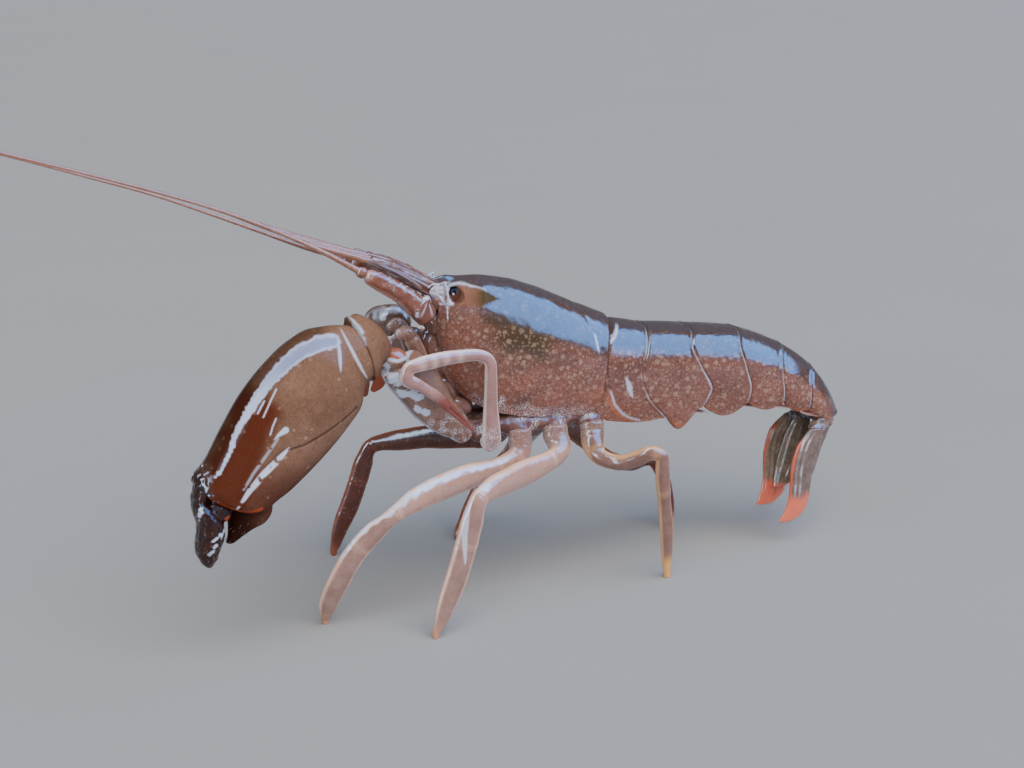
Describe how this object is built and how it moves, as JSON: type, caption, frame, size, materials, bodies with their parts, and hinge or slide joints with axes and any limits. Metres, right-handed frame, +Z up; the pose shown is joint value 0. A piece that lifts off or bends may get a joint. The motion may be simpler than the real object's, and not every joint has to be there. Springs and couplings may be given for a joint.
{
  "type": "snapping shrimp",
  "caption": "Life-size still model of a snapping shrimp standing on its walking legs, great claw lowered in front, abdomen arched and tail fan folded down.",
  "frame": {"origin": "middle of the outline box on the floor the feet stand on", "axes": "head and feelers towards -X, tail fan towards +X, the animal's left side towards -Y, +Z up"},
  "size_m": [0.0794, 0.0254, 0.0451],
  "materials": {
    "shell": "wet glossy shell, red-brown with pale dots",
    "claw": "wet glossy shell, olive-brown turning dark red at the tip",
    "leg": "glossy translucent pinkish brown",
    "tail": "glossy, ridged, olive-brown with orange ends",
    "feeler": "satin red-brown to orange",
    "eye": "very glossy near-black"
  },
  "bodies": {
    "root": {"antenna_base_left": "feeler", "antenna_base_right": "feeler", "antenna_left": "feeler", "antenna_right": "feeler", "antenna_scale_left": "feeler", "antenna_scale_right": "feeler", "antennule_left": "feeler", "antennule_right": "feeler", "carapace": "shell", "eye_left": "eye", "eye_right": "eye", "great_claw_carpus": "claw", "great_claw_finger": "claw", "great_claw_merus": "claw", "great_claw_palm": "claw", "leg2_left_claw": "leg", "leg2_left_middle": "leg", "leg2_left_upper": "leg", "leg2_right_claw": "leg", "leg2_right_middle": "leg", "leg2_right_upper": "leg", "leg3_left_lower": "leg", "leg3_left_upper": "leg", "leg3_right_lower": "leg", "leg3_right_upper": "leg", "leg4_left_lower": "leg", "leg4_left_upper": "leg", "leg4_right_lower": "leg", "leg4_right_upper": "leg", "leg5_left_lower": "leg", "leg5_left_upper": "leg", "leg5_right_lower": "leg", "leg5_right_upper": "leg", "mouth_foot_left": "leg", "mouth_foot_right": "leg", "small_claw_carpus": "claw", "small_claw_finger": "claw", "small_claw_merus": "claw", "small_claw_palm": "claw", "tail_fan_inner_left": "tail", "tail_fan_inner_right": "tail", "tail_fan_outer_left": "tail", "tail_fan_outer_right": "tail", "tail_ring_1": "shell", "tail_ring_2": "shell", "tail_ring_3": "shell", "tail_ring_4": "shell", "tail_ring_5": "shell", "tail_ring_6": "shell", "telson": "tail"}
  },
  "joints": []
}
